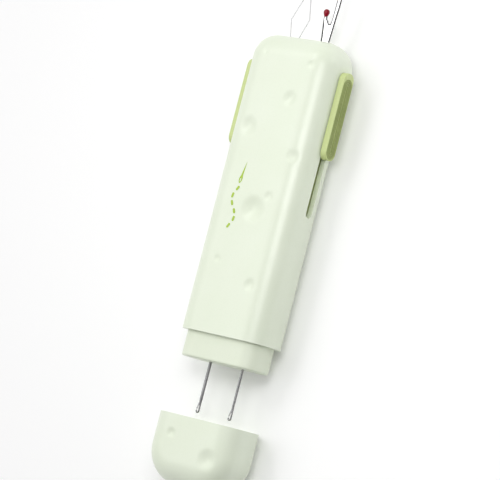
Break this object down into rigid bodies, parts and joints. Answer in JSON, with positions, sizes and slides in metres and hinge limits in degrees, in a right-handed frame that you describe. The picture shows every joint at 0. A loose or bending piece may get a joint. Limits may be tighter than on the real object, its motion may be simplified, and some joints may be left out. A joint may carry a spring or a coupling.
{
  "type": "needle threader",
  "caption": "Flat pocket sewing tool: side sliders push out a wire needle threader and a seam ripper, and latch hooks stand at the other end under a pull-off cap.",
  "frame": {"origin": "centre of the outer sleeve's flat back face, on which the tool lies", "axes": "+X across the width, towards the seam ripper's button; +Y along the tool, towards the threader and the ripper; +Z through the thickness, up to the printed front face"},
  "size_m": [0.0296, 0.1314, 0.0141],
  "materials": {
    "mint_case": "gloss moulded",
    "neck_plastic": "satin moulded",
    "frame_plastic": "plain moulded",
    "green_plastic": "satin moulded",
    "olive_grip": "soft moulded",
    "print_ink": "pad printed",
    "polished_steel": "bright",
    "wire_steel": "drawn wire",
    "spring_steel": "bright",
    "brass_crimp": "satin",
    "red_bead": "gloss"
  },
  "bodies": {
    "handle": {"outer_sleeve": "mint_case", "neck_plug": "neck_plastic", "spring_retainer": "frame_plastic", "centre_frame": "frame_plastic", "printed_motif": "print_ink", "large_hook_spring": "spring_steel", "small_hook_spring": "spring_steel"},
    "threader": {"threader_button": "green_plastic", "threader_grip_pad": "olive_grip", "threader_carriage": "green_plastic", "threader_detent_spring": "spring_steel", "threader_ferrule": "brass_crimp", "threader_pin": "wire_steel", "threader_wire": "wire_steel"},
    "ripper": {"ripper_button": "green_plastic", "ripper_grip_pad": "olive_grip", "ripper_carriage": "green_plastic", "ripper_detent_spring": "spring_steel", "ripper_pins": "wire_steel", "ripper_blade": "polished_steel", "ripper_ball": "red_bead"},
    "cap": {"cap_shell": "mint_case"},
    "large_hook": {"large_hook_shank": "wire_steel", "large_hook_collar": "brass_crimp", "large_hook_rivet": "wire_steel"},
    "small_hook": {"small_hook_shank": "wire_steel", "small_hook_collar": "brass_crimp", "small_hook_rivet": "wire_steel"},
    "large_latch": {"large_hook_latch": "wire_steel"},
    "small_latch": {"small_hook_latch": "wire_steel"}
  },
  "joints": [
    {"name": "threader_slide", "type": "slide", "parent": "handle", "child": "threader", "axis": [0, 1, 0], "range_m": [-0.019, 0], "deforming": ["threader_detent_spring"]},
    {"name": "ripper_slide", "type": "slide", "parent": "handle", "child": "ripper", "axis": [0, 1, 0], "range_m": [-0.019, 0], "deforming": ["ripper_detent_spring"]},
    {"name": "cap_slide", "type": "slide", "parent": "handle", "child": "cap", "axis": [0, 1, 0], "range_m": [0, 0.021]},
    {"name": "large_hook_slide", "type": "slide", "parent": "handle", "child": "large_hook", "axis": [0, 1, 0], "range_m": [0, 0.005], "deforming": ["large_hook_spring"]},
    {"name": "small_hook_slide", "type": "slide", "parent": "handle", "child": "small_hook", "axis": [0, 1, 0], "range_m": [0, 0.005], "deforming": ["small_hook_spring"]},
    {"name": "large_latch_swing", "type": "hinge", "parent": "large_hook", "child": "large_latch", "pos_m": [-0.00422, -0.0545, 0.007], "axis": [0, 0, -1], "range_deg": [0, 150]},
    {"name": "small_latch_swing", "type": "hinge", "parent": "small_hook", "child": "small_latch", "pos_m": [0.00558, -0.0545, 0.007], "axis": [0, 0, -1], "range_deg": [0, 150]}
  ],
  "couplings": [
    {"joint": "large_hook_slide", "follows": "cap_slide", "ratio": 0.238},
    {"joint": "small_hook_slide", "follows": "cap_slide", "ratio": 0.238}
  ]
}
